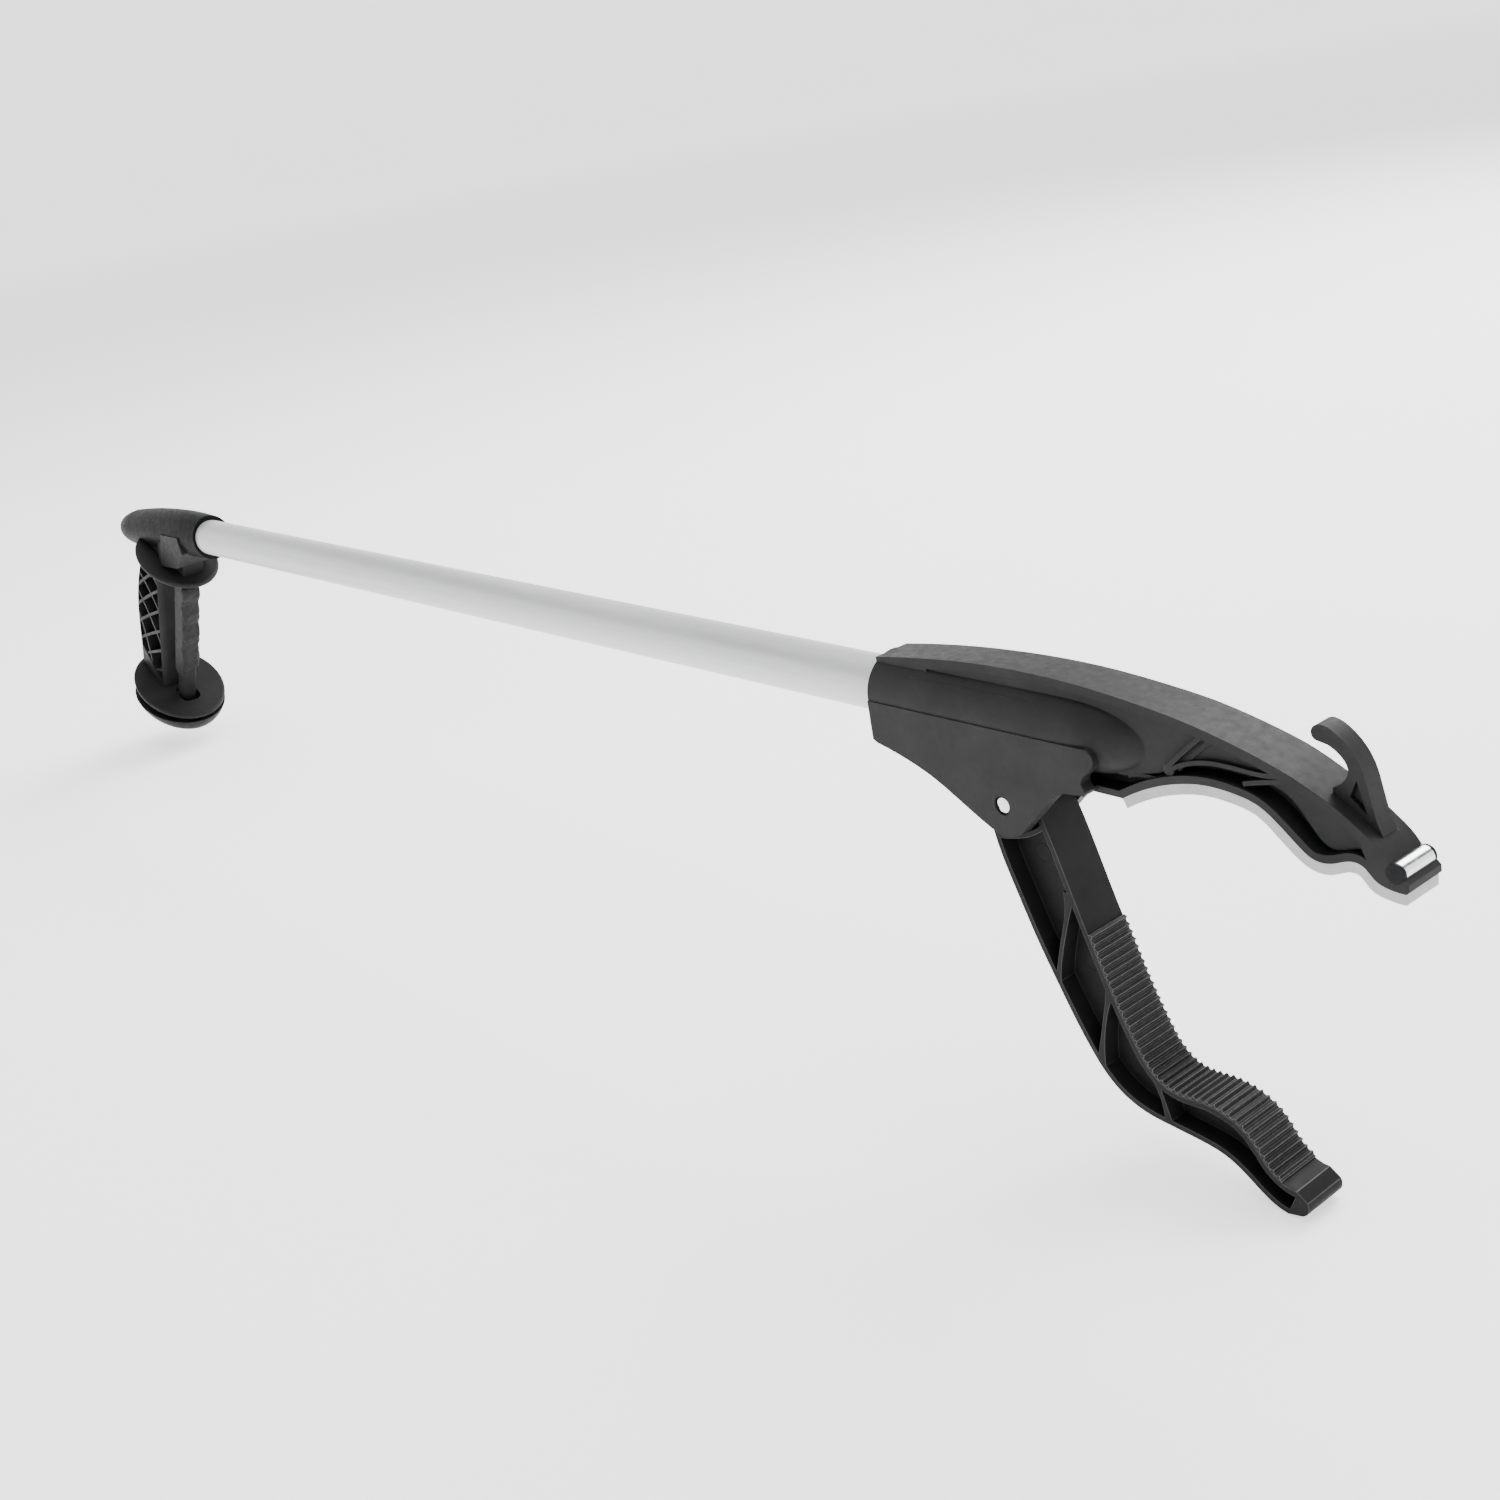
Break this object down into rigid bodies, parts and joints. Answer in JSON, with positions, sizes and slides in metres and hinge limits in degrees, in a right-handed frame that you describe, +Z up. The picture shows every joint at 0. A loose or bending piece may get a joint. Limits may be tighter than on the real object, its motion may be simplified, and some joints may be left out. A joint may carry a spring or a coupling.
{
  "type": "reacher grabber",
  "caption": "Long reacher with a pistol-style hand grip, full-hand trigger, thin tube, curved padded upper jaw with a pull hook, and a hinged serrated lower jaw.",
  "frame": {"origin": "on the tube's axis, just behind the rear face of the head", "axes": "+X along the tube from the handle to the jaws, +Z up with the grip and the lower jaw hanging down, +Y to the left"},
  "size_m": [0.897, 0.0498, 0.1571],
  "materials": {
    "aluminium": "satin",
    "housing_plastic": "satin",
    "jaw_plastic": "satin",
    "grip_plastic": "satin",
    "grip_rubber": "matte",
    "liner_foam": "matte",
    "strip_rubber": "matte",
    "steel": "polished",
    "cap_plastic": "satin",
    "nylon": "satin"
  },
  "bodies": {
    "frame": {"tube": "aluminium", "hood": "housing_plastic", "grip_frame": "grip_plastic", "base_cap": "grip_plastic", "base_screw_rear": "steel", "base_screw_front": "steel", "trigger_pin": "steel", "spring_seat": "nylon", "rod_guide_1": "nylon", "rod_guide_2": "nylon", "rod_guide_3": "nylon", "return_spring": "steel", "upper_jaw": "housing_plastic", "jaw_liner": "liner_foam", "tip_magnet": "steel", "magnet_cap_near": "cap_plastic", "magnet_cap_far": "cap_plastic", "jaw_pivot_pin": "steel"},
    "trigger": {"trigger": "grip_plastic", "trigger_pad": "grip_rubber"},
    "rod": {"pull_rod": "steel", "rod_clevis": "nylon", "rod_pin": "steel", "spring_collar": "nylon", "slider": "nylon", "jaw_link_pin": "steel"},
    "lower_jaw": {"lower_jaw": "jaw_plastic", "jaw_strip": "strip_rubber"}
  },
  "joints": [
    {"name": "trigger_pivot", "type": "hinge", "parent": "frame", "child": "trigger", "pos_m": [-0.65211, 0, -0.1145], "axis": [0, -1, 0], "range_deg": [0, 5.93], "stiffness_Nm_per_rad": 27, "springref_deg": -1.72},
    {"name": "rod_slide", "type": "slide", "parent": "frame", "child": "rod", "axis": [-1, 0, 0], "range_m": [0, 0.0153], "deforming": ["return_spring"]},
    {"name": "lower_jaw_pivot", "type": "hinge", "parent": "frame", "child": "lower_jaw", "pos_m": [0.067, 0, -0.026], "axis": [0, -1, 0], "range_deg": [0, 44.2]}
  ],
  "couplings": [
    {"joint": "rod_slide", "follows": "trigger_pivot", "m_per_rad": 0.14683},
    {"joint": "lower_jaw_pivot", "follows": "trigger_pivot", "ratio": 7.4398}
  ]
}
